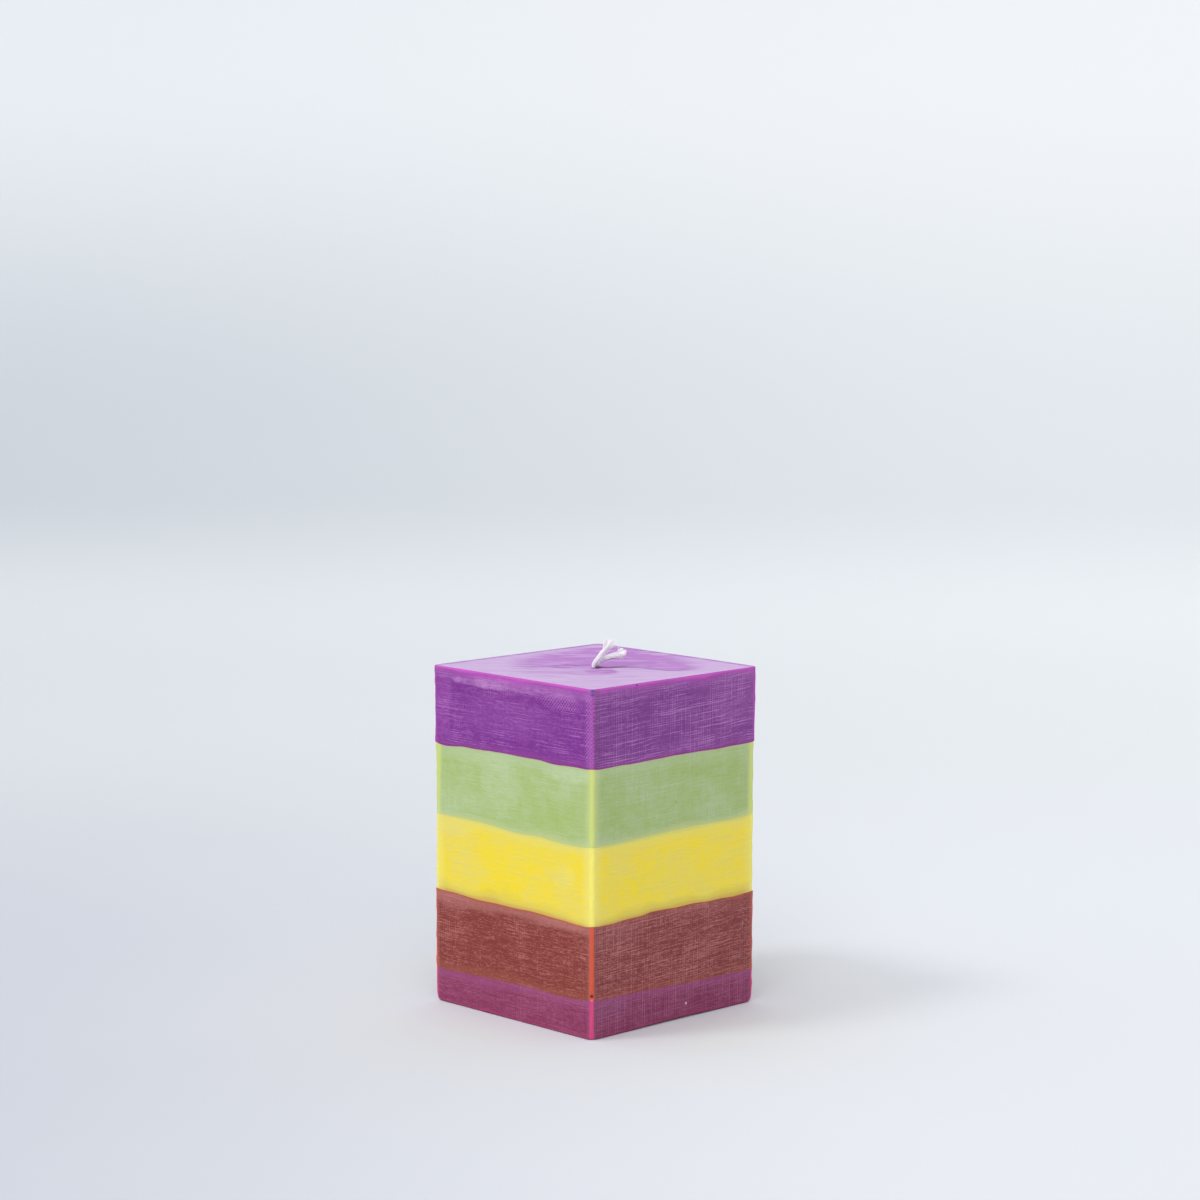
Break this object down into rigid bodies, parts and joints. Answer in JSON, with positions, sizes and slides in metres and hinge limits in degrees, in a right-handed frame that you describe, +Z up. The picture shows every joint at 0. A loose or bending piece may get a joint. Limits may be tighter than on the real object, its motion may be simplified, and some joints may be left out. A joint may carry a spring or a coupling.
{
  "type": "square pillar candle",
  "caption": "Square pillar candle poured in stacked bands of coloured wax, with two frayed cotton wick strands standing out of the middle of its flat top.",
  "frame": {"origin": "middle of the flat foot that the candle stands on", "axes": "+Z up along the wick, X and Y square to the four sides of the wax block"},
  "size_m": [0.066, 0.066, 0.1083],
  "materials": {
    "wax_plum": "plum candle wax with a light frost; matte plastic stands in for wax",
    "wax_brick_red": "brick red candle wax with a light frost; matte plastic stands in for wax",
    "wax_yellow": "yellow candle wax with a light frost; matte plastic stands in for wax",
    "wax_green": "pale green candle wax with a light frost; matte plastic stands in for wax",
    "wax_violet": "violet candle wax with a pale lavender bloom on the open top; matte plastic stands in for wax",
    "cotton_wick": "loosely twisted white cotton, frayed at the cut ends"
  },
  "bodies": {
    "root": {"wax_plum_base": "wax_plum", "wax_brick_red": "wax_brick_red", "wax_yellow": "wax_yellow", "wax_green": "wax_green", "wax_violet_top": "wax_violet", "wick_strand_tall": "cotton_wick", "wick_strand_short": "cotton_wick"}
  },
  "joints": []
}
